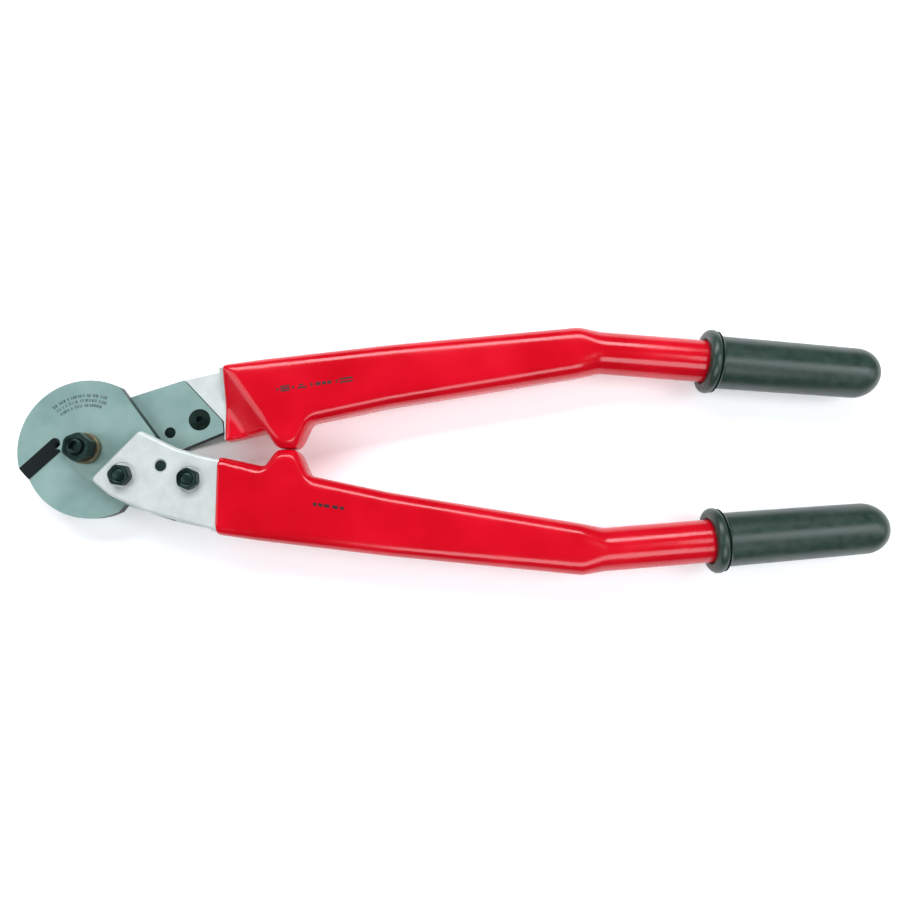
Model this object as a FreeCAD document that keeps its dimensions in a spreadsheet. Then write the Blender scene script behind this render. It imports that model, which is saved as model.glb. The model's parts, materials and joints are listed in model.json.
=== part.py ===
import FreeCAD, Part
import Sketcher
import math
import os

# Insulated two-hand cable and bolt cutters, in millimetres.
#
# The two halves are alike: one is the other turned half a turn about the centre line.
# Each half is modelled once, in the frame of the upper half: origin on the pivot axis in
# the plane where the blades meet, +X towards the grips, +Y outward, blade below that plane.
# The placed part has its origin at the bottom centre of its box, +X towards the grips.

doc = FreeCAD.newDocument("insulated_cutters")
sheet = doc.addObject("Spreadsheet::Sheet", "sizes")

lengths = {
    "overall_length": 590,
    # blades
    "disc_radius": 47, "blade_thickness": 8, "face_gap": 0.05,
    "edge_angle": 43.4, "bevel_width": 6.8, "bevel_land": 0.5, "bevel_runout": 2.5,
    "chord_angle": 37.5, "chord_distance": 41.9,
    "notch_round": 3, "blade_round": 6,
    # handle castings
    "cheek_thickness": 7.5, "cheek_round": 3.5, "cheek_edge_round": 2.5,
    "shoulder_gap": 0.8, "body_half_depth": 13,
    "neck_station": 88, "hip_station": 118, "mid_station": 205, "bend_station": 335,
    "bend_run": 15, "tube_diameter": 26, "tube_angle": 4.6,
    "neck_corner": 4, "hip_corner": 6.5, "mid_corner": 7.5, "bend_corner": 9,
    "tube_flat": 0.1,
    "ramp_angle": 54, "ramp_foot": 92, "ramp_run": 18,
    "lug_centre": 135.8, "lug_half_tip": 3, "lug_half_base": 16.8, "lug_half_depth": 12.4,
    "lug_front_rise": 14, "lug_rear_rise": 21, "lug_bury": 9, "lug_chamfer": 4.5,
    "lug_narrowing": 2.4, "lug_gap": 0.3,
    # dipped insulation and grips
    "insulation_wall": 1.8, "insulation_start": 90.7,
    "grip_start": 421.5, "grip_diameter": 36.4, "grip_tail_diameter": 34.4,
    "flange_width": 8, "flange_round": 3.6, "flange_root": 2.2, "grip_end_wall": 20,
    "grip_clearance": 0.05, "dome_round": 16.9,
    # pivot
    "bush_diameter": 16, "bush_clearance": 0.05, "collar_diameter": 21, "collar_height": 5,
    "pivot_thread": 10, "pivot_hex": 17, "head_height": 9, "pivot_nut_height": 10.4,
    "pivot_end": 2.2, "pivot_end_bore": 6, "pivot_end_depth": 3,
    # blade screws, nuts and locating pins
    "screw_thread": 8, "screw_clearance": 0.2, "screw_head": 15, "screw_recess": 0.3,
    "screw_key": 5, "key_depth": 3.2, "screw_stub": 0.3,
    "nut_hex": 13, "nut_height": 6.5, "spotface_depth": 0.5, "spotface_margin": 1.4,
    "pin_diameter": 7.5, "pin_clearance": 0.02, "pin_recess": 0.4,
    "pin_chamfer": 0.6, "pin_sink": 1, "thread_clearance": 0.02,
    "hex_ball_ratio": 1.06,  # ball that turns down the corners, over half the flats
    "cut_reach": 80,  # how far a cutting sketch runs past the piece
}
places = {
    "notch": (-19.7, -1.2),
    "back_root": (-10.6, 8.9), "back_bend": (-2.5, 17.2), "back_waist": (5.9, 22.8),
    "back_crest": (25, 36.7), "tang_outer": (61.3, 48.7), "tang_toe": (89, 19.9),
    "tang_heel": (89.8, 12.3), "tang_inner": (49.5, -4.7),
    "tang_buried": (20, -20), "tang_root": (5, 5),
    "cheek_nose": (6.2, 21.2), "cheek_tip": (37.6, -12), "cheek_belly": (62, -0.3),
    "cheek_waist": (79, 4.8), "cheek_back": (42, 42), "cheek_brow": (19, 31.4),
    "neck_inner": (93, 7.8), "neck_outer": (93, 55.7),
    "neck_edges": (6.7, 55.5), "hip_edges": (12.9, 60.2),
    "mid_edges": (31.0, 70.5), "bend_edges": (52.0, 83.2),
    "tube_axis": (350, 67.9),
    "front_screw": (27.8, 18.5), "rear_screw": (73, 21), "pin": (53, 12),
}


class Value:
    """A number together with the sheet expression that gives it."""

    def __init__(self, number, text):
        self.number = number
        self.text = text

    def __add__(self, other):
        other = asValue(other)
        return Value(self.number + other.number, f"({self.text} + {other.text})")

    def __sub__(self, other):
        other = asValue(other)
        return Value(self.number - other.number, f"({self.text} - {other.text})")

    def __mul__(self, other):
        other = asValue(other)
        return Value(self.number * other.number, f"({self.text} * {other.text})")

    def __truediv__(self, other):
        other = asValue(other)
        return Value(self.number / other.number, f"({self.text} / {other.text})")

    def __neg__(self):
        return Value(-self.number, f"(0 - {self.text})")


def asValue(item):
    return item if isinstance(item, Value) else Value(float(item), str(float(item)))


def sine(angle):
    return Value(math.sin(math.radians(angle.number)), f"sin({angle.text})")


def cosine(angle):
    return Value(math.cos(math.radians(angle.number)), f"cos({angle.text})")


def fillSheet():
    cells = dict(lengths)
    for name, (first, second) in places.items():
        cells[name + "_a"] = first
        cells[name + "_b"] = second
    for row, (name, number) in enumerate(cells.items(), 1):
        sheet.set(f"A{row}", name)
        sheet.set(f"B{row}", str(number))
        sheet.setAlias(f"B{row}", name)
    doc.recompute()


def size(name):
    return Value(float(sheet.get(name)), f"sizes.{name}")


def place(name):
    return size(name + "_a"), size(name + "_b")


def bind(item, prop, value):
    value = asValue(value)
    item.setExpression(prop, value.text)


# ---- sketch helpers

def newSketch(body, name, role="XY_Plane", height=0.0):
    sketch = body.newObject("Sketcher::SketchObject", name)
    plane = [f for f in body.Origin.OriginFeatures if f.Role == role][0]
    sketch.AttachmentSupport = [(plane, "")]
    sketch.MapMode = "FlatFace"
    sketch.AttachmentOffset = FreeCAD.Placement(
        FreeCAD.Vector(0, 0, asValue(height).number), FreeCAD.Rotation())
    bind(sketch, ".AttachmentOffset.Base.z", height)
    return sketch


def pin(sketch, shape, end, first, second):
    # holds one end of a sketch shape at two coordinates from the sketch's origin
    for kind, axis, value in (("DistanceX", -2, first), ("DistanceY", -1, second)):
        value = asValue(value)
        if value.text == "0.0":
            sketch.addConstraint(Sketcher.Constraint("PointOnObject", shape, end, axis))
            continue
        number = sketch.addConstraint(
            Sketcher.Constraint(kind, -1, 1, shape, end, value.number))
        sketch.setExpression(f"Constraints[{number}]", value.text)


def polygon(sketch, corners):
    count = len(corners)
    spots = [FreeCAD.Vector(asValue(a).number, asValue(b).number, 0) for a, b in corners]
    for i in range(count):
        sketch.addGeometry(Part.LineSegment(spots[i], spots[(i + 1) % count]), False)
    for i in range(count):
        sketch.addConstraint(Sketcher.Constraint("Coincident", i, 2, (i + 1) % count, 1))
    for i, (first, second) in enumerate(corners):
        pin(sketch, i, 1, first, second)


def circle(sketch, centre, radius):
    radius = asValue(radius)
    first, second = asValue(centre[0]), asValue(centre[1])
    middle = FreeCAD.Vector(first.number, second.number, 0)
    shape = sketch.addGeometry(
        Part.Circle(middle, FreeCAD.Vector(0, 0, 1), radius.number), False)
    pin(sketch, shape, 3, centre[0], centre[1])
    number = sketch.addConstraint(Sketcher.Constraint("Radius", shape, radius.number))
    sketch.setExpression(f"Constraints[{number}]", radius.text)


def roundedBox(sketch, left, right, low, high, corner):
    # a rectangle with four equal round corners: each side ends one corner radius short
    left, right, low, high, corner = map(asValue, (left, right, low, high, corner))
    ends = [
        ((left + corner, low), (right - corner, low)),
        ((right, low + corner), (right, high - corner)),
        ((right - corner, high), (left + corner, high)),
        ((left, high - corner), (left, low + corner)),
    ]
    middles = [(right - corner, low + corner), (right - corner, high - corner),
               (left + corner, high - corner), (left + corner, low + corner)]
    for start, finish in ends:
        sketch.addGeometry(Part.LineSegment(
            *(FreeCAD.Vector(a.number, b.number, 0) for a, b in (start, finish))), False)
    for i, (a, b) in enumerate(middles):
        round_ = Part.Circle(FreeCAD.Vector(a.number, b.number, 0),
                             FreeCAD.Vector(0, 0, 1), corner.number)
        begin = math.radians(270 + 90 * i)
        sketch.addGeometry(Part.ArcOfCircle(round_, begin, begin + math.pi / 2), False)
    for i in range(4):
        sketch.addConstraint(Sketcher.Constraint("Coincident", i, 2, 4 + i, 1))
        sketch.addConstraint(Sketcher.Constraint("Coincident", 4 + i, 2, (i + 1) % 4, 1))
        for end in (1, 2):
            pin(sketch, i, end, *ends[i][end - 1])
        number = sketch.addConstraint(
            Sketcher.Constraint("Radius", 4 + i, corner.number))
        sketch.setExpression(f"Constraints[{number}]", corner.text)
        sketch.setDriving(number, False)


def newBody(name):
    return doc.addObject("PartDesign::Body", name)


def pad(body, sketch, length, downward=False, both=False):
    feature = body.newObject("PartDesign::Pad", sketch.Name + "_pad")
    feature.Profile = sketch
    bind(feature, "Length", length)
    feature.Reversed = downward
    feature.Midplane = both
    doc.recompute()
    return feature


def pocket(body, sketch, length, upward=False, both=False):
    before = body.Shape.Volume
    feature = body.newObject("PartDesign::Pocket", sketch.Name + "_cut")
    feature.Profile = sketch
    bind(feature, "Length", length)
    feature.Reversed = upward
    feature.Midplane = both
    doc.recompute()
    if body.Shape.Volume > before - 0.01:
        raise RuntimeError(f"{sketch.Name} cuts nothing")
    return feature


def crossSketch(body, name, origin, run, across):
    # a sketch that stands on edge: its X is across, its Y is up and it faces along run
    sketch = newSketch(body, name)
    up = FreeCAD.Vector(0, 0, 1)
    sketch.AttachmentOffset = FreeCAD.Placement(origin, FreeCAD.Rotation(across, up, run))
    return sketch


def uprightEdges(shape, corners):
    # names of the upright edges that stand at the given corners
    found = []
    for number, edge in enumerate(shape.Edges, 1):
        ends = [v.Point for v in edge.Vertexes]
        if len(ends) != 2 or (ends[0] - ends[1]).Length < 1:
            continue
        if math.hypot(ends[0].x - ends[1].x, ends[0].y - ends[1].y) > 0.001:
            continue
        for first, second in corners:
            if math.hypot(ends[0].x - first.number, ends[0].y - second.number) < 0.01:
                found.append(f"Edge{number}")
    return found


def roundEdges(body, name, names, radius):
    feature = body.newObject("PartDesign::Fillet", name)
    feature.Base = (body.Tip if body.Tip != feature else body.Group[-2], names)
    bind(feature, "Radius", radius)
    doc.recompute()
    return feature


# ---- Part primitive helpers

def cylinder(name, centre, radius, base, height):
    shape = doc.addObject("Part::Cylinder", name)
    bind(shape, "Radius", radius)
    bind(shape, "Height", height)
    bind(shape, ".Placement.Base.x", centre[0])
    bind(shape, ".Placement.Base.y", centre[1])
    bind(shape, ".Placement.Base.z", base)
    return shape


def cone(name, centre, low_radius, high_radius, base, height):
    shape = doc.addObject("Part::Cone", name)
    bind(shape, "Radius1", low_radius)
    bind(shape, "Radius2", high_radius)
    bind(shape, "Height", height)
    bind(shape, ".Placement.Base.x", centre[0])
    bind(shape, ".Placement.Base.y", centre[1])
    bind(shape, ".Placement.Base.z", base)
    return shape


def hexagon(name, centre, across_flats, base, height, turn):
    # a hexagon bar whose corners are turned down on a ball
    bar = doc.addObject("Part::Prism", name + "_bar")
    bar.Polygon = 6
    bar.Placement.Rotation = FreeCAD.Rotation(FreeCAD.Vector(0, 0, 1), turn)
    bind(bar, "Circumradius", across_flats / 2 / math.cos(math.pi / 6))
    bind(bar, "Height", height)
    ball = doc.addObject("Part::Sphere", name + "_ball")
    half = asValue(height).number / 2
    flat = across_flats.number / 2 * size("hex_ball_ratio").number
    ball.Radius = math.hypot(flat, half)
    for item, level in ((bar, asValue(base)), (ball, asValue(base) + asValue(height) / 2)):
        bind(item, ".Placement.Base.x", centre[0])
        bind(item, ".Placement.Base.y", centre[1])
        bind(item, ".Placement.Base.z", level)
    return join("Part::Common", name, bar, ball)


def join(kind, name, base, tool):
    shape = doc.addObject(kind, name)
    shape.Base = base
    shape.Tool = tool
    return shape


def fuse(name, shapes):
    shape = doc.addObject("Part::MultiFuse", name)
    shape.Shapes = shapes
    return shape


# ---- the pieces of one half

def screwSpots():
    return {"front": place("front_screw"), "rear": place("rear_screw")}


def blade(name):
    thickness = size("blade_thickness") - size("face_gap")
    top = -size("face_gap")
    body = newBody(name + "_body")

    disc = newSketch(body, name + "_disc", height=top)
    circle(disc, (0, 0), size("disc_radius"))
    pad(body, disc, thickness, downward=True)

    # flat on the disc's inner side, square to the chord angle
    turn = size("chord_angle")
    near, far = size("chord_distance"), size("disc_radius") * 2
    flat = newSketch(body, name + "_flat", height=top)
    sideways = size("disc_radius") * 1.5
    polygon(flat, [
        (near * cosine(turn) + sideways * sine(turn),
         sideways * cosine(turn) - near * sine(turn)),
        (near * cosine(turn) - sideways * sine(turn),
         -(near * sine(turn)) - sideways * cosine(turn)),
        (far * cosine(turn) - sideways * sine(turn),
         -(far * sine(turn)) - sideways * cosine(turn)),
        (far * cosine(turn) + sideways * sine(turn),
         sideways * cosine(turn) - far * sine(turn)),
    ])
    pocket(body, flat, thickness)

    tang = newSketch(body, name + "_tang", height=top)
    polygon(tang, [place(p) for p in ("tang_outer", "tang_toe", "tang_heel", "tang_inner",
                                      "tang_buried", "tang_root", "back_crest")])
    pad(body, tang, thickness, downward=True)

    # the mouth: the cutting edge on one side, the blade's back on the other
    notch = place("notch")
    reach = size("disc_radius") * 1.6
    mouth = newSketch(body, name + "_mouth", height=top)
    crest, outer = place("back_crest"), place("tang_outer")
    rise = (outer[1] - crest[1]) / (outer[0] - crest[0])
    polygon(mouth, [
        notch, place("back_root"), place("back_bend"), place("back_waist"), crest,
        (crest[0] + 5, crest[1] + rise * 5), (crest[0] + 5, reach), (-reach, reach),
        (notch[0] - reach * cosine(size("edge_angle")),
         notch[1] + reach * sine(size("edge_angle"))),
    ])
    pocket(body, mouth, thickness)

    roundEdges(body, name + "_notch_round",
               uprightEdges(body.Shape, [notch]), size("notch_round"))
    roundEdges(body, name + "_corner_round",
               uprightEdges(body.Shape, [place("tang_toe"), place("back_waist"),
                                         place("back_bend")]), size("blade_round"))

    # grinding bevel along the whole cutting edge, on the outer face
    angle = math.radians(size("edge_angle").number)
    along = FreeCAD.Vector(-math.cos(angle), math.sin(angle), 0)
    across = FreeCAD.Vector(-math.sin(angle), -math.cos(angle), 0)
    start = FreeCAD.Vector(notch[0].number, notch[1].number, 0)
    start = start - along * size("bevel_runout").number
    bevel = crossSketch(body, name + "_bevel", start, along, across)
    width, land = size("bevel_width"), size("bevel_land")
    polygon(bevel, [
        (0, -land), (width, -size("blade_thickness")),
        (width, -size("blade_thickness") - 4), (0, -size("blade_thickness") - 4),
    ])
    pocket(body, bevel, reach, upward=True)

    deep = size("blade_thickness") + 2
    tools = [cylinder(name + "_pivot_hole", (0, 0),
                      size("bush_diameter") / 2 + size("bush_clearance"), -deep, deep + 1),
             cylinder(name + "_pin_hole", place("pin"),
                      size("pin_diameter") / 2 + size("pin_clearance"), -deep, deep + 1)]
    for spot, centre in screwSpots().items():
        head = size("screw_head") / 2
        bore = size("screw_thread") / 2 + size("screw_clearance")
        tools.append(cylinder(f"{name}_{spot}_hole", centre, bore, -deep, deep + 1))
        tools.append(cone(f"{name}_{spot}_sink", centre, bore, head,
                          top - size("screw_recess") - (head - bore), head - bore))
        tools.append(cylinder(f"{name}_{spot}_rim", centre, head,
                              top - size("screw_recess"), 1))
    return join("Part::Cut", name, body, fuse(name + "_holes", tools))


def lugOutline(grow, inset, narrow):
    # the hump in plan, from its front root over the tip to its rear root
    centre, tip, base = size("lug_centre"), size("lug_half_tip"), size("lug_half_base")
    low = size("lug_gap") / 2 + size("insulation_wall") - grow + inset
    half_tip = tip + grow - narrow
    steps = 6
    hump = []
    for i in range(steps + 1):
        share = i / steps
        hump.append((half_tip + (base - tip) * share, (1 - math.cos(math.pi * share)) / 2))
    front, rear = size("lug_front_rise") - inset, size("lug_rear_rise") - inset
    corners = [(centre - x, low + front * swell) for x, swell in reversed(hump)]
    corners += [(centre + x, low + rear * swell) for x, swell in hump]
    bury = size("lug_bury")
    return corners + [(centre + hump[-1][0], low + rear + bury),
                      (centre - hump[-1][0], low + front + bury)]


def handleForm(body, name, grow):
    # the handle's outer form, swollen by grow: bare for the casting, one wall for the dip
    grow = asValue(grow)
    depth = size("body_half_depth")
    back = -(size("blade_thickness") + size("cheek_thickness"))
    tube = size("tube_diameter") / 2
    axis_x, axis_y = place("tube_axis")
    slope = sine(size("tube_angle")) / cosine(size("tube_angle"))
    end_x = tubeEnd() + grow
    end_y = axis_y - slope * (end_x - axis_x)
    stations = [
        (size("neck_station"), *place("neck_edges"), back, depth, size("neck_corner")),
        (size("hip_station"), *place("hip_edges"), -depth, depth, size("hip_corner")),
        (size("mid_station"), *place("mid_edges"), -depth, depth, size("mid_corner")),
        (size("bend_station"), *place("bend_edges"), -depth, depth, size("bend_corner")),
        (size("bend_station") + size("bend_run"), axis_y - tube, axis_y + tube,
         -tube, tube, tube - size("tube_flat")),
        (end_x, end_y - tube, end_y + tube, -tube, tube, tube - size("tube_flat")),
    ]
    sections = []
    for number, (x, low, high, under, over, corner) in enumerate(stations):
        section = newSketch(body, f"{name}_section_{number}", "YZ_Plane", x)
        roundedBox(section, low - grow, high + grow, under - grow, over + grow,
                   corner + grow)
        sections.append(section)
    loft = body.newObject("PartDesign::AdditiveLoft", name + "_loft")
    loft.Profile = sections[0]
    loft.Sections = sections[1:]
    loft.Ruled = True
    doc.recompute()

    # stop lug on the inner side: a smooth hump down to the centre line, its rim chamfered
    chamfer, narrowing = size("lug_chamfer"), size("lug_narrowing")
    outer = size("lug_half_depth") + grow
    lug_sections = []
    for number, (level, inset, narrow) in enumerate((
            (-outer, chamfer, narrowing), (chamfer - outer, 0, 0),
            (outer - chamfer, 0, 0), (outer, chamfer, narrowing))):
        section = newSketch(body, f"{name}_lug_{number}", height=level)
        polygon(section, lugOutline(grow, inset, narrow))
        lug_sections.append(section)
    lug = body.newObject("PartDesign::AdditiveLoft", name + "_lug")
    lug.Profile = lug_sections[0]
    lug.Sections = lug_sections[1:]
    lug.Ruled = True
    doc.recompute()

    # front ramp: low beside the shoulder, rising to the full depth of the handle
    angle = math.radians(size("ramp_angle").number)
    along = FreeCAD.Vector(math.cos(angle), -math.sin(angle), 0)
    across = FreeCAD.Vector(math.sin(angle), math.cos(angle), 0)
    ramp = crossSketch(body, name + "_ramp", FreeCAD.Vector(0, 0, 0), along, across)
    tilt = math.atan2(depth.number, size("ramp_run").number)
    shift = grow * math.tan(tilt / 2)
    foot = size("ramp_foot") - shift
    level = grow - size("face_gap")
    head = foot + size("ramp_run")
    reach = size("cut_reach")
    polygon(ramp, [(foot - reach, level), (foot, level), (head, depth + grow),
                   (head, depth + reach), (foot - reach, depth + reach)])
    pocket(body, ramp, reach * 4, both=True)
    return body


def tubeEnd():
    return (size("overall_length") - size("disc_radius") - size("grip_end_wall")
            - size("insulation_wall"))


def handleCore(name):
    # flat cheek that carries the blade, its corners and outer rim softened
    body = newBody(name + "_form")
    cheek_top = -size("blade_thickness")
    outside = size("blade_thickness") + size("cheek_thickness")
    cheek = newSketch(body, name + "_cheek", height=cheek_top)
    corners = [place(p) for p in ("cheek_nose", "cheek_tip", "cheek_belly", "cheek_waist",
                                  "neck_inner", "neck_outer", "cheek_back", "cheek_brow")]
    polygon(cheek, corners)
    pad(body, cheek, size("cheek_thickness"), downward=True)
    roundEdges(body, name + "_cheek_corners",
               uprightEdges(body.Shape, [corners[0], corners[1], corners[7]]),
               size("cheek_round"))
    rim = [f"Edge{n}" for n, edge in enumerate(body.Shape.Edges, 1)
           if edge.BoundBox.ZMax < -outside.number + 0.01
           and edge.BoundBox.XMin < corners[4][0].number - 0.01]
    roundEdges(body, name + "_cheek_rim", rim, size("cheek_edge_round"))
    handleForm(body, name + "_form", 0)

    # seat for the blade's tang
    gap, reach = size("shoulder_gap"), size("cut_reach")
    seat = newSketch(body, name + "_seat", height=cheek_top)
    outer, toe, heel = place("tang_outer"), place("tang_toe"), place("tang_heel")
    polygon(seat, [
        (outer[0] + gap, outer[1]), (toe[0] + gap, toe[1]), (heel[0] + gap, heel[1]),
        (heel[0] + gap, -reach), (-reach, -reach), (-reach, outer[1]),
    ])
    pocket(body, seat, reach, upward=True)

    # shoulder behind the tang, up to the plane of the blade's face
    shoulder = newSketch(body, name + "_shoulder", height=cheek_top - 1)
    inner_edge, outer_edge = place("neck_inner"), place("neck_outer")
    polygon(shoulder, [
        (outer[0] + gap, outer[1]), (toe[0] + gap, toe[1]), (heel[0] + gap, heel[1]),
        (heel[0] + gap, inner_edge[1]), (size("hip_station") - 12, inner_edge[1] + 3),
        (size("hip_station") - 12, outer_edge[1] + 1), outer_edge,
    ])
    pad(body, shoulder, size("blade_thickness") + 1 - size("face_gap"))

    tools = [cylinder(name + "_pin_hole", place("pin"),
                      size("pin_diameter") / 2 + size("pin_clearance"),
                      -outside - 1, outside + 2)]
    rim, sink = size("pin_diameter") / 2 + size("pin_clearance"), size("pin_sink")
    tools.append(cone(name + "_pin_sink", place("pin"), rim + sink * 1.5, rim,
                      -outside - sink / 2, sink * 1.5))
    for spot, centre in screwSpots().items():
        bore = size("screw_thread") / 2 + size("screw_clearance")
        seat = size("nut_hex") / 2 / math.cos(math.pi / 6) + size("spotface_margin")
        tools.append(cylinder(f"{name}_{spot}_hole", centre, bore, -outside - 1,
                              outside + 2))
        tools.append(cylinder(f"{name}_{spot}_spotface", centre, seat, -outside - 1,
                              size("spotface_depth") + 1))
    return join("Part::Cut", name, body, fuse(name + "_holes", tools)), body


def insulation(name, casting):
    outer = handleForm(newBody(name + "_skin"), name + "_skin", size("insulation_wall"))
    trim = newSketch(outer, name + "_start", height=-size("body_half_depth") * 2)
    start, reach = size("insulation_start"), size("cut_reach")
    polygon(trim, [(start - reach, -reach), (start, -reach), (start, reach * 2),
                   (start - reach, reach * 2)])
    pocket(outer, trim, size("body_half_depth") * 4, upward=True)
    return join("Part::Cut", name, outer, casting)


def grip(name):
    body = newBody(name)
    axis_x, axis_y = place("tube_axis")
    slope = sine(size("tube_angle")) / cosine(size("tube_angle"))
    tilt = cosine(size("tube_angle"))
    end = size("overall_length") - size("disc_radius")
    length = (end - size("grip_start")) / tilt
    bore = size("tube_diameter") / 2 + size("insulation_wall") + size("grip_clearance")
    slant = (bore + size("grip_clearance")) * slope
    depth = (tubeEnd() + size("insulation_wall") - size("grip_start")) / tilt + slant
    flange = standHeight()
    front, tail = size("grip_diameter") / 2, size("grip_tail_diameter") / 2
    width = size("flange_width")
    profile = newSketch(body, name + "_profile")
    polygon(profile, [(0, bore), (0, flange), (width, flange), (width, front),
                      (length, tail), (length, 0), (depth, 0), (depth, bore)])
    turned = body.newObject("PartDesign::Revolution", name + "_turned")
    turned.Profile = profile
    turned.ReferenceAxis = (profile, ["H_Axis"])
    turned.Angle = 360
    doc.recompute()

    def ringAt(x, radius):
        found = []
        for number, edge in enumerate(body.Shape.Edges, 1):
            box = edge.BoundBox
            if box.XLength < 0.001 and abs(box.XMin - x) < 0.01:
                if abs(box.YLength / 2 - radius) < 0.05:
                    found.append(f"Edge{number}")
        return found

    rims = ringAt(0, flange.number) + ringAt(width.number, flange.number)
    roundEdges(body, name + "_rim", rims, size("flange_round"))
    roundEdges(body, name + "_root", ringAt(width.number, front.number),
               size("flange_root"))
    roundEdges(body, name + "_dome", ringAt(length.number, tail.number),
               size("dome_round"))
    start_y = axis_y - slope * (size("grip_start") - axis_x)
    return body, FreeCAD.Placement(
        FreeCAD.Vector(size("grip_start").number, start_y.number, 0),
        FreeCAD.Rotation(FreeCAD.Vector(0, 0, 1), -size("tube_angle").number))


def bladeScrew(name, centre):
    top = -size("face_gap") - size("screw_recess")
    head, shank = size("screw_head") / 2, size("screw_thread") / 2
    end = standHeight() - size("screw_stub")
    key = hexagon(name + "_key", centre, size("screw_key"), top - size("key_depth"),
                  size("key_depth") + 1, 10)
    stem = cylinder(name + "_stem", centre, shank, -end, end + top - (head - shank) / 2)
    sunk = cone(name + "_head", centre, shank, head, top - (head - shank), head - shank)
    return join("Part::Cut", name, fuse(name + "_solid", [stem, sunk]), key)


def bladeNut(name, centre, turn):
    seat = size("blade_thickness") + size("cheek_thickness") - size("spotface_depth")
    base = -seat - size("nut_height")
    solid = hexagon(name + "_hex", centre, size("nut_hex"), base, size("nut_height"), turn)
    bore = cylinder(name + "_bore", centre, size("screw_thread") / 2 + size("thread_clearance"), base - 1,
                    size("nut_height") + 2)
    return join("Part::Cut", name, solid, bore)


def locatingPin(name):
    low = size("pin_recess") - size("blade_thickness") - size("cheek_thickness")
    high = -size("pin_recess")
    radius, chamfer, centre = size("pin_diameter") / 2, size("pin_chamfer"), place("pin")
    return fuse(name, [
        cone(name + "_low_end", centre, radius - chamfer, radius, low, chamfer),
        cylinder(name + "_shank", centre, radius, low + chamfer, high - low - chamfer * 2),
        cone(name + "_high_end", centre, radius, radius - chamfer, high - chamfer, chamfer),
    ])


# ---- the pivot

def standHeight():
    # height of the blades' meeting plane over the surface that the tool lies on
    return size("blade_thickness") + size("collar_height") + size("head_height")


def pivotPieces():
    blades = size("blade_thickness")
    gap = size("face_gap")
    collar, thread = size("collar_diameter") / 2, size("pivot_thread") / 2
    height = size("collar_height")
    hole = thread + size("bush_clearance")
    centre = (0, 0)

    bush = join("Part::Cut", "pivot_bush",
                cylinder("bush_outer", centre, size("bush_diameter") / 2, -blades,
                         blades * 2 + gap),
                cylinder("bush_inner", centre, hole, -blades - 1, blades * 2 + 2))
    front = join("Part::Cut", "pivot_collar",
                 cylinder("collar_outer", centre, collar, blades + gap, height),
                 cylinder("collar_inner", centre, hole, blades - 1, height + 2))
    rear = join("Part::Cut", "pivot_rear_collar",
                cylinder("rear_outer", centre, collar, -blades - height, height),
                cylinder("rear_inner", centre, hole, -blades - height - 1, height + 2))
    nut_base = blades + gap + height
    nut = join("Part::Cut", "pivot_nut",
               hexagon("pivot_nut_hex", centre, size("pivot_hex"), nut_base,
                       size("pivot_nut_height"), 22),
               cylinder("pivot_nut_bore", centre, thread + size("thread_clearance"),
                        nut_base - 1,
                        size("pivot_nut_height") + 2))
    head = hexagon("pivot_head", centre, size("pivot_hex"), -standHeight(),
                   size("head_height"), 5)
    top = nut_base + size("pivot_nut_height") + size("pivot_end")
    head_top = -blades - height
    stem = cylinder("pivot_stem", centre, thread, head_top - 1, top - head_top + 1)
    bolt = join("Part::Cut", "pivot_bolt", fuse("pivot_bolt_solid", [head, stem]),
                cylinder("pivot_end_hole", centre, size("pivot_end_bore") / 2,
                         top - size("pivot_end_depth"), size("pivot_end_depth") + 1))
    return [bush, front, rear, nut, bolt]


# ---- assembly

def assemble():
    centre = FreeCAD.Vector(size("disc_radius").number - size("overall_length").number / 2,
                            0, standHeight().number)
    upright = FreeCAD.Placement(centre, FreeCAD.Rotation())
    flipped = FreeCAD.Placement(centre, FreeCAD.Rotation(FreeCAD.Vector(1, 0, 0), 180))
    halves = {
        "upper": (upright, "rear_blade"),
        "lower": (flipped, "front_blade"),
    }
    parts = []
    for side, (frame, blade_name) in halves.items():
        core, casting = handleCore(side + "_core")
        handgrip, on_tube = grip(side + "_handgrip")
        made = [(blade_name, blade(blade_name)),
                (side + "_handle_core", core),
                (side + "_handle_insulation", insulation(side + "_dip", casting)),
                (side + "_locating_pin", locatingPin(side + "_dowel"))]
        for turn, (spot, middle) in enumerate(screwSpots().items()):
            label = f"{side}_{spot}"
            made.append((label + "_screw", bladeScrew(label + "_bolt", middle)))
            made.append((label + "_nut", bladeNut(label + "_lock", middle, 8 + 17 * turn)))
        for label, item in made:
            item.Label = label
            parts.append((item, frame))
        handgrip.Label = side + "_grip"
        parts.append((handgrip, frame.multiply(on_tube)))
    for item in pivotPieces():
        parts.append((item, upright))
    doc.recompute()
    for item, frame in parts:
        item.Placement = frame
    doc.recompute()
    return [item for item, frame in parts]


def export(parts):
    for item in doc.Objects:
        if "Invalid" in item.State or "Error" in item.State:
            raise RuntimeError(f"{item.Name} did not build: {item.State}")
    for item in parts:
        if item.Shape.isNull() or not item.Shape.isValid():
            raise RuntimeError(f"{item.Label} has no valid shape")
    os.makedirs("parts", exist_ok=True)
    for item in parts:
        item.Shape.exportStep(f"parts/{item.Label}.step")
        box = item.Shape.BoundBox
        print(f"{item.Label:26s} solids {len(item.Shape.Solids)} volume "
              f"{item.Shape.Volume:9.0f} x {box.XMin:7.1f} {box.XMax:7.1f} "
              f"y {box.YMin:6.1f} {box.YMax:6.1f} z {box.ZMin:5.1f} {box.ZMax:5.1f}")


fillSheet()
export(assemble())
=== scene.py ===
import json
import math
import random

import bpy
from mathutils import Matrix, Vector
from mathutils.bvhtree import BVHTree

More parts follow.
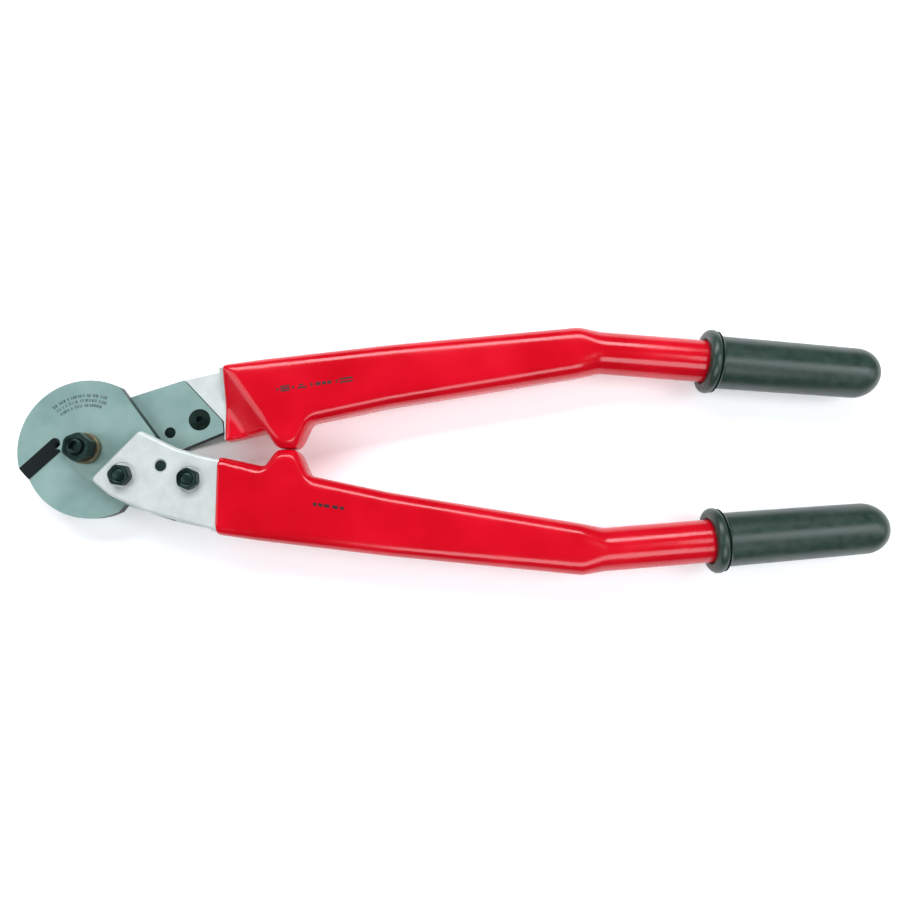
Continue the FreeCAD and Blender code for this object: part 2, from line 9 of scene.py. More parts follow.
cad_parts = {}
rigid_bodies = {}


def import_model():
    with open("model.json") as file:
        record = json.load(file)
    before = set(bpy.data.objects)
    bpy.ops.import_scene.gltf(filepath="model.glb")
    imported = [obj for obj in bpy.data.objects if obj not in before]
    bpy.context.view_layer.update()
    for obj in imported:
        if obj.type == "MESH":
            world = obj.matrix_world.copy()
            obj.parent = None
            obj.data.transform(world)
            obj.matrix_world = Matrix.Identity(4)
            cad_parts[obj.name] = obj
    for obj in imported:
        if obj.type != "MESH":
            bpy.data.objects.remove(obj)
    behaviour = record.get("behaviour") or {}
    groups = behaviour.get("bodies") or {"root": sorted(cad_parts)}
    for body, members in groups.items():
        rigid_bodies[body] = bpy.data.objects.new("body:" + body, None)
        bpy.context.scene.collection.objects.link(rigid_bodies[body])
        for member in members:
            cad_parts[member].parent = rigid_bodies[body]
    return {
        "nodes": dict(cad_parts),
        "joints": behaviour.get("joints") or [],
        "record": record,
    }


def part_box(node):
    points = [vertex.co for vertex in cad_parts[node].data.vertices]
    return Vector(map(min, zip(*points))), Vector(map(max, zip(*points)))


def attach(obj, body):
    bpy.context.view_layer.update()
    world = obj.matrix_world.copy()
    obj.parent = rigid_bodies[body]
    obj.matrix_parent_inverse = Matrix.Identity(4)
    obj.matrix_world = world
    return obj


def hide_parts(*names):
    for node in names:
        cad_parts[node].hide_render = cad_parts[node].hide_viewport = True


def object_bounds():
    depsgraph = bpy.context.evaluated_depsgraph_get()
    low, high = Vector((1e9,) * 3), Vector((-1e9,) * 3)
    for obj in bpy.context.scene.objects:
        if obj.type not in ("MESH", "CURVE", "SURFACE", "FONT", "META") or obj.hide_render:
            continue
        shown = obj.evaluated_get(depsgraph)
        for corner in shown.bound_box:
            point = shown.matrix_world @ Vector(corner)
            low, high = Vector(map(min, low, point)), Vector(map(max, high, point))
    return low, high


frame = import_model()
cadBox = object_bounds()
mm = 0.001
mergeGap = 0.01 * mm
joint = frame["joints"][0]
pivot = Vector(joint["pos_m"])  # on the pivot's axis, where the two blades meet
bodyOf = {node: body for body, nodes in frame["record"]["behaviour"]["bodies"].items()
          for node in nodes}
slotOf = {entry["node"]: entry["material_slot"]
          for entry in frame["record"]["subparts"]}
print("frame loaded")


# working helpers

def deselectAll():
    for item in bpy.context.view_layer.objects:
        item.select_set(False)


def pick(piece):
    deselectAll()
    piece.hide_viewport = False
    piece.select_set(True)
    bpy.context.view_layer.objects.active = piece


def applyModifier(piece, modifier):
    pick(piece)
    bpy.ops.object.modifier_apply(modifier=modifier.name)


def applyPlace(piece):
    pick(piece)
    bpy.ops.object.transform_apply(location=True, rotation=True, scale=True)


def tidyMesh(piece):
    pick(piece)
    bpy.ops.object.mode_set(mode="EDIT")
    bpy.ops.mesh.select_all(action="SELECT")
    bpy.ops.mesh.remove_doubles(threshold=mergeGap)
    bpy.ops.mesh.normals_make_consistent(inside=False)
    bpy.ops.object.mode_set(mode="OBJECT")


def smoothShade(piece, degrees):
    pick(piece)
    bpy.ops.object.shade_smooth_by_angle(angle=math.radians(degrees))


def copyOfNode(nodeName, pieceName):
    # a merged copy of a CAD node's mesh, free to be worked on
    source = frame["nodes"][nodeName]
    piece = bpy.data.objects.new(pieceName, source.data.copy())
    bpy.context.scene.collection.objects.link(piece)
    piece.data.materials.clear()
    if piece.data.has_custom_normals:
        pick(piece)
        bpy.ops.mesh.customdata_custom_splitnormals_clear()
    tidyMesh(piece)
    return piece


def finishPiece(piece, body, material, nodes=()):
    piece.data.materials.clear()
    piece.data.materials.append(material)
    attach(piece, body)
    if nodes:
        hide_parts(*nodes)
    return piece


# shader groups shared by the materials

def newGroup(name, inputs, outputs):
    group = bpy.data.node_groups.new(name, "ShaderNodeTree")
    for label, value in inputs:
        entry = group.interface.new_socket(
            name=label, in_out="INPUT", socket_type="NodeSocketFloat")
        entry.default_value = value
    for label in outputs:
        group.interface.new_socket(
            name=label, in_out="OUTPUT", socket_type="NodeSocketFloat")
    begin = group.nodes.new("NodeGroupInput")
    end = group.nodes.new("NodeGroupOutput")
    return group, begin, end


def mathNode(tree, operation, first, second, clamp=False):
    node = tree.nodes.new("ShaderNodeMath")
    node.operation = operation
    node.use_clamp = clamp
    for place, value in enumerate((first, second)):
        if isinstance(value, (int, float)):
            node.inputs[place].default_value = value
        else:
            tree.links.new(value, node.inputs[place])
    return node.outputs[0]


def grainGroup():
    # fine grain as a height: noise of one size over noise of a coarser one
    group, begin, end = newGroup(
        "surfaceGrain", [("Size", 900.0), ("Coarse", 0.35)], ["Height", "Patches"])
    spot = group.nodes.new("ShaderNodeTexCoord")
    fine = group.nodes.new("ShaderNodeTexNoise")
    fine.inputs["Detail"].default_value = 3
    coarse = group.nodes.new("ShaderNodeTexNoise")
    coarse.inputs["Detail"].default_value = 2
    link = group.links.new
    link(spot.outputs["Object"], fine.inputs["Vector"])
    link(spot.outputs["Object"], coarse.inputs["Vector"])
    link(begin.outputs["Size"], fine.inputs["Scale"])
    link(mathNode(group, "MULTIPLY", begin.outputs["Size"], 0.06), coarse.inputs["Scale"])
    mixed = mathNode(group, "MULTIPLY", coarse.outputs["Fac"], begin.outputs["Coarse"])
    link(mathNode(group, "ADD", fine.outputs["Fac"], mixed), end.inputs["Height"])
    link(coarse.outputs["Fac"], end.inputs["Patches"])
    return group


def grindGroup():
    # long parallel grinding lines along X, and the flat faces as a mask
    group, begin, end = newGroup(
        "grindLines", [("Lines", 2600.0), ("Stretch", 60.0), ("Edge", 0.85)],
        ["Height", "Flat"])
    spot = group.nodes.new("ShaderNodeTexCoord")
    squeeze = group.nodes.new("ShaderNodeVectorMath")
    squeeze.operation = "MULTIPLY"
    pack = group.nodes.new("ShaderNodeCombineXYZ")
    link = group.links.new
    link(mathNode(group, "DIVIDE", begin.outputs["Lines"], begin.outputs["Stretch"]),
         pack.inputs["X"])
    link(begin.outputs["Lines"], pack.inputs["Y"])
    link(begin.outputs["Lines"], pack.inputs["Z"])
    link(spot.outputs["Object"], squeeze.inputs[0])
    link(pack.outputs["Vector"], squeeze.inputs[1])
    lines = group.nodes.new("ShaderNodeTexNoise")
    lines.inputs["Scale"].default_value = 1
    lines.inputs["Detail"].default_value = 2
    link(squeeze.outputs[0], lines.inputs["Vector"])
    facing = group.nodes.new("ShaderNodeNewGeometry")
    split = group.nodes.new("ShaderNodeSeparateXYZ")
    link(facing.outputs["True Normal"], split.inputs[0])
    upright = mathNode(group, "ABSOLUTE", split.outputs["Z"], 0)
    link(lines.outputs["Fac"], end.inputs["Height"])
    link(mathNode(group, "GREATER_THAN", upright, begin.outputs["Edge"]),
         end.inputs["Flat"])
    return group


def stripGroup():
    # a band with a round end, measured in plan from Start along a direction
    group, begin, end = newGroup(
        "bevelStrip", [("Start X", 0.0), ("Start Y", 0.0), ("Run X", 1.0), ("Run Y", 0.0),
                       ("Half Width", 0.004), ("Side", 1.0)], ["Mask"])
    spot = group.nodes.new("ShaderNodeTexCoord")
    split = group.nodes.new("ShaderNodeSeparateXYZ")
    group.links.new(spot.outputs["Object"], split.inputs[0])
    fromX = mathNode(group, "SUBTRACT", split.outputs["X"], begin.outputs["Start X"])
    fromY = mathNode(group, "SUBTRACT", split.outputs["Y"], begin.outputs["Start Y"])
    along = mathNode(group, "MAXIMUM", mathNode(
        group, "ADD", mathNode(group, "MULTIPLY", fromX, begin.outputs["Run X"]),
        mathNode(group, "MULTIPLY", fromY, begin.outputs["Run Y"])), 0)
    offX = mathNode(group, "SUBTRACT", fromX,
                    mathNode(group, "MULTIPLY", along, begin.outputs["Run X"]))
    offY = mathNode(group, "SUBTRACT", fromY,
                    mathNode(group, "MULTIPLY", along, begin.outputs["Run Y"]))
    away = mathNode(group, "SQRT", mathNode(
        group, "ADD", mathNode(group, "MULTIPLY", offX, offX),
        mathNode(group, "MULTIPLY", offY, offY)), 0)
    inside = mathNode(group, "LESS_THAN", away, begin.outputs["Half Width"])
    facing = group.nodes.new("ShaderNodeNewGeometry")
    normal = group.nodes.new("ShaderNodeSeparateXYZ")
    group.links.new(facing.outputs["True Normal"], normal.inputs[0])
    outer = mathNode(group, "GREATER_THAN", mathNode(
        group, "MULTIPLY", normal.outputs["Z"], begin.outputs["Side"]), 0)
    group.links.new(mathNode(group, "MULTIPLY", inside, outer), end.inputs["Mask"])
    return group


surfaceGrain = grainGroup()
bevelStrip = stripGroup()
grindLines = grindGroup()


def newMaterial(name, colour, metallic, roughness):
    material = bpy.data.materials.new(name)
    material.use_nodes = True
    material.diffuse_color = (*colour, 1)
    shader = material.node_tree.nodes["Principled BSDF"]
    shader.inputs["Base Color"].default_value = (*colour, 1)
    shader.inputs["Metallic"].default_value = metallic
    shader.inputs["Roughness"].default_value = roughness
    return material, shader


def placeGroup(material, group, **values):
    node = material.node_tree.nodes.new("ShaderNodeGroup")
    node.node_tree = group
    for label, value in values.items():
        node.inputs[label].default_value = value
    return node


def colourMix(material, mask, dark, light):
    tree = material.node_tree
    mix = tree.nodes.new("ShaderNodeMix")
    mix.data_type = "RGBA"
    mix.inputs["A"].default_value = (*dark, 1)
    mix.inputs["B"].default_value = (*light, 1)
    tree.links.new(mask, mix.inputs["Factor"])
    return mix.outputs["Result"]


def bumpOn(material, shader, height, strength, distance):
    tree = material.node_tree
    bump = tree.nodes.new("ShaderNodeBump")
    bump.inputs["Strength"].default_value = strength
    bump.inputs["Distance"].default_value = distance
    tree.links.new(height, bump.inputs["Height"])
    tree.links.new(bump.outputs["Normal"], shader.inputs["Normal"])


def rangeOn(material, value, low, high, fromLow=0.3, fromHigh=0.7):
    tree = material.node_tree
    node = tree.nodes.new("ShaderNodeMapRange")
    for label, number in (("From Min", fromLow), ("From Max", fromHigh),
                          ("To Min", low), ("To Max", high)):
        node.inputs[label].default_value = number
    tree.links.new(value, node.inputs["Value"])
    return node.outputs["Result"]


# two tones in patches over fine grain; rough is the roughness over each tone, and bump
# the strength and depth of the grain
looks = {
    # thick glossy plastisol that has run slightly as it cured
    "dippedInsulation": {
        "base": (0.6, 0.001, 0.01), "metallic": 0, "roughness": 0.16, "ior": 1.46,
        "grain": 420.0, "coarse": 6.0,
        "dark": (0.52, 0.0006, 0.008), "light": (0.64, 0.001, 0.014),
        "rough": (0.12, 0.22), "bump": (0.25, 0.12 * mm)},
    "gripRubber": {
        "base": (0.016, 0.026, 0.022), "metallic": 0, "roughness": 0.42,
        "grain": 2600.0, "coarse": 0.8,
        "dark": (0.01, 0.028, 0.019), "light": (0.019, 0.043, 0.031),
        "rough": (0.3, 0.4), "bump": (0.35, 0.1 * mm)},
    # sandblasted casting, nearly white, with faint handling marks
    "castAluminium": {
        "base": (0.7, 0.68, 0.68), "metallic": 0.2, "roughness": 0.5,
        "grain": 1900.0, "coarse": 0.6,
        "dark": (0.515, 0.56, 0.53), "light": (0.62, 0.66, 0.63),
        "rough": (0.52, 0.38), "bump": (0.5, 0.08 * mm)},
    "blackOxide": {
        "base": (0.014, 0.032, 0.027), "metallic": 0.85, "roughness": 0.34,
        "grain": 1500.0, "coarse": 0.8,
        "dark": (0.01, 0.026, 0.021), "light": (0.022, 0.046, 0.04),
        "rough": (0.28, 0.42), "bump": (0.3, 0.05 * mm)},
    "sinteredBronze": {
        "base": (0.17, 0.145, 0.085), "metallic": 0.8, "roughness": 0.46,
        "grain": 2400.0, "coarse": 0.4,
        "dark": (0.12, 0.1, 0.06), "light": (0.22, 0.19, 0.11),
        "bump": (0.4, 0.04 * mm)},
    # ink or etching that has worn thin in patches
    "etchedMark": {
        "base": (0.05, 0.085, 0.085), "metallic": 0, "roughness": 0.5,
        "grain": 5200.0, "coarse": 0.8,
        "dark": (0.05, 0.085, 0.085), "light": (0.13, 0.2, 0.19)},
    "printedMark": {
        "base": (0.012, 0.003, 0.004), "metallic": 0, "roughness": 0.5,
        "grain": 5200.0, "coarse": 0.8,
        "dark": (0.012, 0.003, 0.004), "light": (0.05, 0.003, 0.007)},
}


def mottled(name):
    look = looks[name]
    material, shader = newMaterial(name, look["base"], look["metallic"], look["roughness"])
    link = material.node_tree.links.new
    grain = placeGroup(material, surfaceGrain, Size=look["grain"], Coarse=look["coarse"])
    patches = grain.outputs["Patches"]
    link(colourMix(material, rangeOn(material, patches, 0, 1), look["dark"], look["light"]),
         shader.inputs["Base Color"])
    if "rough" in look:
        link(rangeOn(material, patches, *look["rough"]), shader.inputs["Roughness"])
    if "ior" in look:
        shader.inputs["IOR"].default_value = look["ior"]
    if "bump" in look:
        bumpOn(material, shader, grain.outputs["Height"], *look["bump"])
    return material


# the dark bevelled band that runs out from the pivot to the rim, measured from the pivot
# the band's dark colour is a painted reflection of dark surroundings on the bevel
paintedReflectionBand = {"start": (-21.85 * mm, 3.77 * mm), "angle": 43.4, "halfWidth": 3.65 * mm}
steel = {"base": (0.4, 0.5, 0.47), "roughness": 0.32, "specular": 0.3,
         "lines": 2600.0, "stretch": 60.0, "flatEdge": 0.5, "stain": 700.0, "coarse": 0.5,
         "dark": (0.205, 0.327, 0.305), "light": (0.285, 0.418, 0.385),
         "oxide": (0.012, 0.018, 0.018), "rough": (0.38, 0.48), "metallic": (0.4, 0.5),
         "bump": (0.3, 0.03 * mm)}


def bladeSteel(name, side):
    # ground bright on the flat faces, black oxide left on every edge wall, a painted dark
    # reflection on the bevel; side is 1 for the upward outer face and -1 for the downward one
    material, shader = newMaterial(name, steel["base"], 1, steel["roughness"])
    tree = material.node_tree
    link = tree.links.new
    turn = math.radians(paintedReflectionBand["angle"])
    band = placeGroup(material, bevelStrip, **{
        "Start X": pivot.x + paintedReflectionBand["start"][0],
        "Start Y": pivot.y + paintedReflectionBand["start"][1] * side,
        "Run X": -math.cos(turn), "Run Y": -math.sin(turn) * side,
        "Half Width": paintedReflectionBand["halfWidth"], "Side": side})
    ground = placeGroup(material, grindLines, Lines=steel["lines"],
                        Stretch=steel["stretch"], Edge=steel["flatEdge"])
    stains = placeGroup(material, surfaceGrain, Size=steel["stain"], Coarse=steel["coarse"])
    bright = colourMix(material, rangeOn(material, stains.outputs["Patches"], 0, 1),
                       steel["dark"], steel["light"])
    both = tree.nodes.new("ShaderNodeMix")
    both.data_type = "RGBA"
    # dark tone: black oxide on the edge walls, painted dark reflection on the bevelled band
    both.inputs["A"].default_value = (*steel["oxide"], 1)
    groundBright = mathNode(tree, "SUBTRACT", ground.outputs["Flat"], band.outputs["Mask"], True)
    link(groundBright, both.inputs["Factor"])
    link(bright, both.inputs["B"])
    link(both.outputs["Result"], shader.inputs["Base Color"])
    link(rangeOn(material, ground.outputs["Height"], *steel["rough"]),
         shader.inputs["Roughness"])
    link(rangeOn(material, groundBright, *steel["metallic"], 0, 1), shader.inputs["Metallic"])
    shader.inputs["Specular IOR Level"].default_value = steel["specular"]
    bumpOn(material, shader, ground.outputs["Height"], *steel["bump"])
    return material


finish = {
    "dipped_insulation": mottled("dippedInsulation"),
    "grip_rubber": mottled("gripRubber"),
    "forged_aluminium": mottled("castAluminium"),
    "blade_steel": bladeSteel("rearBladeSteel", -1),
    "black_oxide": mottled("blackOxide"),
    "pivot_bronze": mottled("sinteredBronze"),
}
frontSteel = bladeSteel("frontBladeSteel", 1)
bladeInk = mottled("etchedMark")
handleInk = mottled("printedMark")


def materialOf(nodeName):
    return frontSteel if nodeName == "front_blade" else finish[slotOf[nodeName]]


for nodeName in slotOf:
    node = frame["nodes"][nodeName]
    node.data.materials.clear()
    node.data.materials.append(materialOf(nodeName))
print("materials made")


# dipped insulation, one soft skin over each handle

dip = {"voxel": 1.0 * mm, "softSteps": 40, "softFactor": 0.5, "coreReach": 0.9 * mm,
       "smooth": 40}


def makeDip(side):
    node = f"{side}_handle_insulation"
    core = copyOfNode(f"{side}_handle_core", f"{side}CoreTool")
    skin = copyOfNode(node, f"{side}Dip")
    # keep the outside only: faces on the core's own surface are the bore
    tree = BVHTree.FromObject(core, bpy.context.evaluated_depsgraph_get())
    pick(skin)
    bpy.ops.object.mode_set(mode="EDIT")
    bpy.ops.mesh.select_mode(type="FACE")
    bpy.ops.mesh.select_all(action="DESELECT")
    bpy.ops.object.mode_set(mode="OBJECT")
    for face in skin.data.polygons:
        spots = [face.center] + [skin.data.vertices[v].co for v in face.vertices]
        away = [tree.find_nearest(spot)[3] for spot in spots]
        face.select = max(away) < dip["coreReach"]
    bpy.ops.object.mode_set(mode="EDIT")
    bpy.ops.mesh.delete(type="FACE")
    bpy.ops.mesh.select_all(action="DESELECT")
    bpy.ops.mesh.select_mode(type="EDGE")
    bpy.ops.mesh.select_non_manifold(extend=False)
    bpy.ops.mesh.edge_face_add()
    bpy.ops.mesh.select_all(action="SELECT")
    bpy.ops.mesh.quads_convert_to_tris()
    bpy.ops.mesh.normals_make_consistent(inside=False)
    bpy.ops.object.mode_set(mode="OBJECT")
    remesh = skin.modifiers.new("soften", "REMESH")
    remesh.mode = "VOXEL"
    remesh.voxel_size = dip["voxel"]
    applyModifier(skin, remesh)
    relax = skin.modifiers.new("relax", "SMOOTH")
    relax.factor = dip["softFactor"]
    relax.iterations = dip["softSteps"]
    applyModifier(skin, relax)
    bore = skin.modifiers.new("bore", "BOOLEAN")
    bore.operation = "DIFFERENCE"
    bore.object = core
    bore.solver = "EXACT"
    applyModifier(skin, bore)
    bpy.data.objects.remove(core)
    smoothShade(skin, dip["smooth"])
    finishPiece(skin, f"{side}_half", finish["dipped_insulation"],
                [node])
    return skin


dips = {side: makeDip(side) for side in ("upper", "lower")}
print("insulation dipped")


# moulded rubber grips, turned from one profile

gripShape = {"tilt": 4.6, "mouth": 14.9 * mm, "boreStep": 1 * mm, "lip": 1.2 * mm,
             "flangeWidth": 8 * mm, "flangeRound": 3.6 * mm, "neck": 18.2 * mm,
             "tail": 17.2 * mm, "root": 3 * mm, "tailFlat": 0.3 * mm,
             "segments": 96, "arcSteps": 8, "domeSteps": 20, "smooth": 35}


def arcPoints(centre, radius, fromAngle, toAngle, steps):
    # points of a round stretch of a profile, as (along, out) pairs
    made = []
    for i in range(steps + 1):
        angle = math.radians(fromAngle + (toAngle - fromAngle) * i / steps)
        made.append((centre[0] + radius * math.cos(angle),
                     centre[1] + radius * math.sin(angle)))
    return made


def spinProfile(name, points, segments):
    # walks one vertex along the profile, then spins it about X
    deselectAll()
    bpy.ops.mesh.primitive_plane_add(size=0.001, location=(0, 0, 0))
    piece = bpy.context.active_object
    piece.name = name
    bpy.ops.object.mode_set(mode="EDIT")
    bpy.ops.mesh.select_mode(type="VERT")
    bpy.ops.mesh.merge(type="CENTER")
    bpy.ops.transform.translate(value=(points[0][0], points[0][1], 0))
    for before, after in zip(points, points[1:]):
        bpy.ops.mesh.extrude_region_move(
            TRANSFORM_OT_translate={"value": (after[0] - before[0], after[1] - before[1], 0)})
    bpy.ops.mesh.select_all(action="SELECT")
    bpy.ops.mesh.spin(steps=segments, angle=math.tau, center=(0, 0, 0), axis=(1, 0, 0))
    bpy.ops.object.mode_set(mode="OBJECT")
    tidyMesh(piece)
    return piece


def makeGrip(side, outward):
    s = gripShape
    low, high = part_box(f"{side}_grip")
    flange = pivot.z - cadBox[0].z  # the rims rest on the bench with the pivot's head
    tilt = math.radians(s["tilt"])
    rim, width = s["flangeRound"], s["flangeWidth"]
    dome = s["tail"] - s["tailFlat"]
    startX = low.x + (flange - rim) * math.sin(tilt) + rim * (1 - math.cos(tilt))
    length = (high.x - startX - dome * (1 - math.cos(tilt))
              - s["tailFlat"] * math.sin(tilt)) / math.cos(tilt)
    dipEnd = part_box(f"{side}_handle_insulation")[1].x
    core = (dipEnd - startX) / math.cos(tilt) + s["mouth"] * math.tan(tilt)
    mouth, step, lip = s["mouth"], s["boreStep"], s["lip"]
    outline = [(core, 0), (core, mouth - step), (core - step, mouth),
               (lip, mouth), (0, mouth + lip)]
    outline += arcPoints((rim, flange - rim), rim, 180, 90, s["arcSteps"])
    outline += arcPoints((width - rim, flange - rim), rim, 90, 0, s["arcSteps"])
    outline += arcPoints((width + s["root"], s["neck"] + s["root"]), s["root"],
                         180, 270, s["arcSteps"])
    outline += arcPoints((length - dome, s["tail"] - dome), dome, 90, 0, s["domeSteps"])
    outline += [(length, 0)]
    piece = spinProfile(f"{side}Grip", outline, s["segments"])
    edge = high.y if outward > 0 else low.y  # the flange's rim reaches the node's box
    startY = edge + outward * (rim * math.sin(tilt) - (flange - rim) * math.cos(tilt) - rim)
    piece.rotation_euler = (0, 0, -tilt * outward)
    piece.location = (startX, startY, pivot.z)
    applyPlace(piece)
    smoothShade(piece, s["smooth"])
    finishPiece(piece, f"{side}_half", finish["grip_rubber"],
                [f"{side}_grip"])


makeGrip("upper", 1)
makeGrip("lower", -1)
print("grips turned")


# nuts, bolts, screws, collars and blades with their edges broken
softEdge = {"angle": 30, "segments": 2, "sameLevel": 0.05 * mm, "sameFace": 0.5}
# by the ending of a node's name: its edge width, then for a piece with a threaded end
# how far out that end's round edge may lie and how wide its chamfer is
edgePlan = (
    ("pivot_nut", 0.4 * mm, (6 * mm, 0.9 * mm)),
    ("pivot_bolt", 0.25 * mm, (5.2 * mm, 0.6 * mm)),
    ("_nut", 0.4 * mm, (4.6 * mm, 0.9 * mm)),
    ("_screw", 0.25 * mm, (4.2 * mm, 1.0 * mm)),
    ("_collar", 0.6 * mm, None),
    ("_blade", 0.2 * mm, None),
)


def camelName(nodeName):
    first, *rest = nodeName.split("_")
    return first + "".join(word.capitalize() for word in rest)


def bevelRing(piece, axis, upward, reach, width):
    # widens the chamfer of the round edge at one end of a fastener
    mesh = piece.data
    levels = [vertex.co.z for vertex in mesh.vertices]
    level = max(levels) if upward else min(levels)
    bpy.ops.object.mode_set(mode="EDIT")
    bpy.ops.mesh.select_mode(type="EDGE")
    bpy.ops.mesh.select_all(action="DESELECT")
    bpy.ops.object.mode_set(mode="OBJECT")
    found = 0
    for edge in mesh.edges:
        ends = [mesh.vertices[v].co for v in edge.vertices]
        radii = [(end - axis).xy.length for end in ends]
        atEnd = all(abs(end.z - level) < softEdge["sameLevel"] for end in ends)
        # an edge that bridges two circles has ends at two radii and is left out
        onCircle = abs(radii[0] - radii[1]) < softEdge["sameLevel"]
        edge.select = atEnd and onCircle and max(radii) < reach
        found += edge.select
    bpy.ops.object.mode_set(mode="EDIT")
    if found:
        bpy.ops.mesh.bevel(offset=width, segments=softEdge["segments"], affect="EDGES")
    bpy.ops.object.mode_set(mode="OBJECT")


def softenEdges(nodeName, width, ring):
    piece = copyOfNode(nodeName, camelName(nodeName))
    bpy.ops.object.mode_set(mode="EDIT")
    bpy.ops.mesh.select_all(action="SELECT")
    bpy.ops.mesh.dissolve_limited(angle_limit=math.radians(softEdge["sameFace"]))
    bpy.ops.object.mode_set(mode="OBJECT")
    if ring:
        low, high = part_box(nodeName)
        upward = nodeName.startswith(("lower", "pivot"))
        bevelRing(piece, (low + high) / 2, upward, *ring)
    smoothShade(piece, softEdge["angle"])
    edge = piece.modifiers.new("edge", "BEVEL")
    edge.width = width
    edge.segments = softEdge["segments"]
    edge.limit_method = "ANGLE"
    edge.angle_limit = math.radians(softEdge["angle"])
    edge.harden_normals = True
    applyModifier(piece, edge)
    finishPiece(piece, bodyOf[nodeName], materialOf(nodeName), [nodeName])


for nodeName in slotOf:
    for ending, width, ring in edgePlan:
        if nodeName.endswith(ending):
            softenEdges(nodeName, width, ring)
            break
print("edges broken")


# generic printed marks: plain dashes, no lettering

marks = {"lift": 0.015 * mm, "thick": 0.03 * mm, "seed": 7}


def dash(centre, along, length, height, top):
    # one flat dash lying on a face whose level is top
    bpy.ops.mesh.primitive_cube_add(size=1, location=(centre.x, centre.y, top))
    piece = bpy.context.active_object
    piece.scale = (length, height, marks["thick"])
    piece.rotation_euler = (0, 0, along)
    bpy.ops.object.transform_apply(location=True, rotation=True, scale=True)
    return piece


def joinDashes(name, pieces, body, ink):
    deselectAll()
    for piece in pieces:
        piece.select_set(True)
    bpy.context.view_layer.objects.active = pieces[0]
    bpy.ops.object.join()
    pieces[0].name = name
    return finishPiece(pieces[0], body, ink)


# each row is its radius and the angles it runs between
bladeMarks = {"rows": ((36.6, 69, 130), (33.2, 70, 129), (29.8, 71, 128)),
              "lengths": (1.1, 1.4, 1.7), "height": 2.1 * mm, "gap": 0.6 * mm,
              "gapRatios": (0.7, 0.7, 2.2)}


def makeBladeMarks():
    # three curved rows of dashes round the pivot on the front blade
    rng = random.Random(marks["seed"])
    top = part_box("front_blade")[1].z + marks["lift"]
    made = []
    for radius, fromAngle, toAngle in bladeMarks["rows"]:
        angle = toAngle
        while angle > fromAngle:
            length = rng.choice(bladeMarks["lengths"]) * mm
            gap = bladeMarks["gap"] * rng.choice(bladeMarks["gapRatios"])
            step = math.degrees((length + gap) / (radius * mm))
            turn = math.radians(angle)
            centre = pivot + Vector((math.cos(turn), math.sin(turn), 0)) * radius * mm
            made.append(dash(centre, turn - math.pi / 2, length, bladeMarks["height"], top))
            angle -= step
    joinDashes("bladeMarks", made, "lower_half", bladeInk)


handleMarks = {
    "upper": {"start": (-119 * mm, 39.4 * mm), "angle": 8.2, "dashes": (
        (0.8, 0, 1.6, 1.6), (6, 1.5, 6.4, 1.1), (6, 0, 6.4, 1.1), (6, -1.5, 6.4, 1.1),
        (11.4, 0, 1.6, 1.6), (17.5, -0.9, 6, 1.2), (17, 0.9, 3, 1.2), (24, 0, 1.4, 2.6),
        (28.4, 0, 3.4, 2.2), (32.4, 0, 2.6, 2.2), (36, 0, 2.8, 2.2), (41, 0, 1, 2.2),
        (47.5, 1.1, 9, 1.2), (47.5, -1.1, 9, 1.2))},
    "lower": {"start": (-93 * mm, -37.4 * mm), "angle": -8.2, "dashes": (
        (1.4, 0, 2.6, 2.2), (5.2, 0, 3, 2.2), (9.4, 0, 3.6, 2.2), (15, 0, 4, 2.2),
        (19.6, 0, 2.6, 2.2))},
}


def makeHandleMarks(side, skin):
    # a row of plain dashes laid on the skin's flat face; each dash is along, up, size
    entry = handleMarks[side]
    tree = BVHTree.FromObject(skin, bpy.context.evaluated_depsgraph_get())
    turn = math.radians(entry["angle"])
    along = Vector((math.cos(turn), math.sin(turn), 0))
    up = Vector((-math.sin(turn), math.cos(turn), 0))
    above = cadBox[1].z * 2
    made = []
    for distance, rise, length, height in entry["dashes"]:
        centre = Vector((*entry["start"], above)) + (along * distance + up * rise) * mm
        top = tree.ray_cast(centre, Vector((0, 0, -1)))[0].z + marks["lift"]
        made.append(dash(centre, turn, length * mm, height * mm, top))
    joinDashes(f"{side}Marks", made, f"{side}_half", handleInk)


makeBladeMarks()
for side, skin in dips.items():
    makeHandleMarks(side, skin)
print("marks printed")


# floor, lights and camera

stage = {"floor": 6.0, "floorDrop": 0.1 * mm, "floorColour": (0.93, 0.93, 0.93),
         "floorRoughness": 0.7, "floorSpecular": 0.1, "floorGlow": 0.22, "world": 0.1,
         "lampColour": (0.92, 0.95, 1.0)}
bpy.ops.mesh.primitive_plane_add(
    size=stage["floor"], location=(0, 0, cadBox[0].z - stage["floorDrop"]))
floor = bpy.context.active_object
floor.name = "floor"
floorMaterial, floorShader = newMaterial(
    "paleFloor", stage["floorColour"], 0, stage["floorRoughness"])
floorShader.inputs["Specular IOR Level"].default_value = stage["floorSpecular"]
floorShader.inputs["Emission Color"].default_value = (1, 1, 1, 1)
floorShader.inputs["Emission Strength"].default_value = stage["floorGlow"]
floor.data.materials.append(floorMaterial)

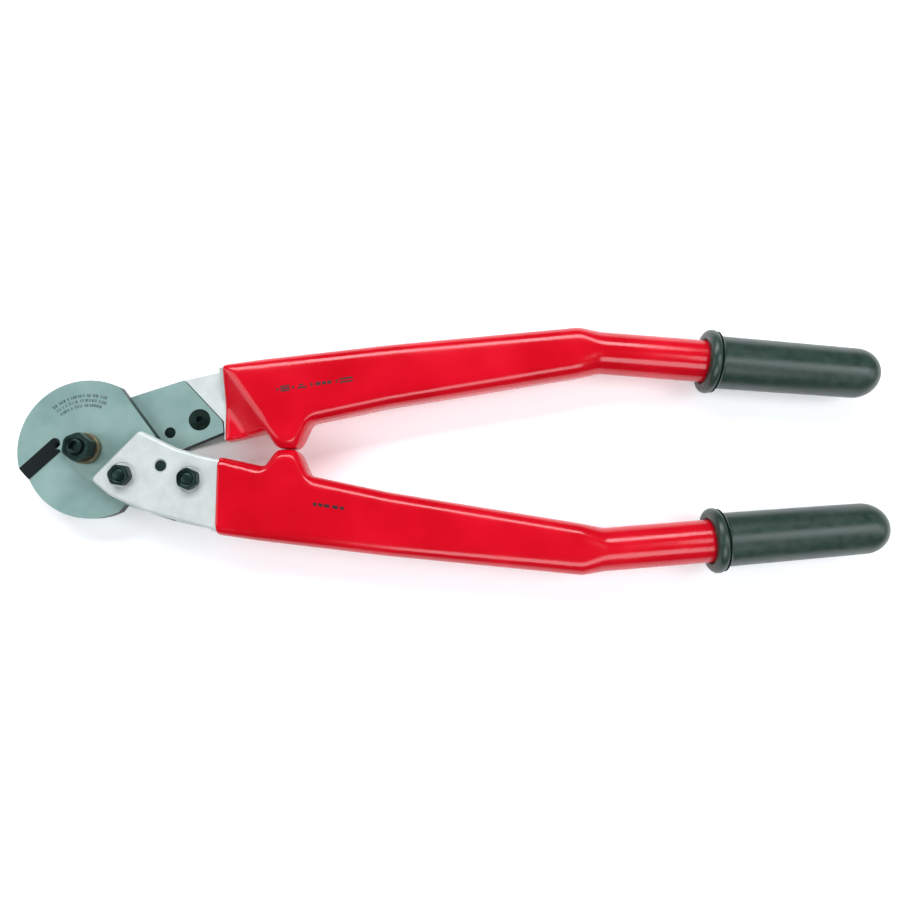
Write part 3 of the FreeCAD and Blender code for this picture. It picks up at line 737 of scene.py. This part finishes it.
# each lamp's place, size, power and what it is aimed at
lamps = {
    "keyLight": ((-0.1, 0.75, 0.85), (1.3, 0.35), 13.5, (0, 0, 0)),
    "fillLight": ((0.2, -0.8, 0.9), (0.9, 0.5), 7, (0, 0, 0)),
    "leftLight": ((-1.0, -0.1, 0.7), (0.5, 0.9), 3.5, (0, 0, 0)),
    "rightLight": ((1.0, -0.1, 0.7), (0.5, 0.9), 3.5, (0, 0, 0)),
    "topLight": ((0.68, 0.06, 0.9), (0.3, 0.5), 2.2, (0.25, 0, 0)),
}


def softLight(name, place, size, power, aim):
    lamp = bpy.data.lights.new(name, "AREA")
    lamp.shape = "RECTANGLE"
    lamp.size, lamp.size_y = size
    lamp.energy = power
    lamp.color = stage["lampColour"]
    item = bpy.data.objects.new(name, lamp)
    bpy.context.scene.collection.objects.link(item)
    item.location = place
    item.rotation_euler = (Vector(aim) - Vector(place)).to_track_quat("-Z", "Y").to_euler()


for lampName, values in lamps.items():
    softLight(lampName, *values)
world = bpy.data.worlds.new("studio")
bpy.context.scene.world = world
world.use_nodes = True
world.node_tree.nodes["Background"].inputs["Color"].default_value = (1, 1, 1, 1)
world.node_tree.nodes["Background"].inputs["Strength"].default_value = stage["world"]
bpy.context.scene.view_settings.view_transform = "Standard"

# width is how much is seen across the view at the aim; sensor is in millimetres
view = {"aim": (-2 * mm, 0, 0), "distance": 500 * mm, "lean": 50.2 * mm,
        "width": 619.2 * mm, "sensor": 36, "near": 10 * mm}
cameraData = bpy.data.cameras.new("camera")
camera = bpy.data.objects.new("camera", cameraData)
bpy.context.scene.collection.objects.link(camera)
aim = Vector((view["aim"][0], view["aim"][1], pivot.z))
camera.location = aim + Vector((0, -view["lean"], view["distance"]))
reach = (camera.location - aim).length
camera.rotation_euler = (aim - camera.location).to_track_quat("-Z", "Y").to_euler()
cameraData.sensor_width = view["sensor"]
cameraData.lens = view["sensor"] * reach / view["width"]
cameraData.clip_start = view["near"]
bpy.context.scene.camera = camera
print("stage set")
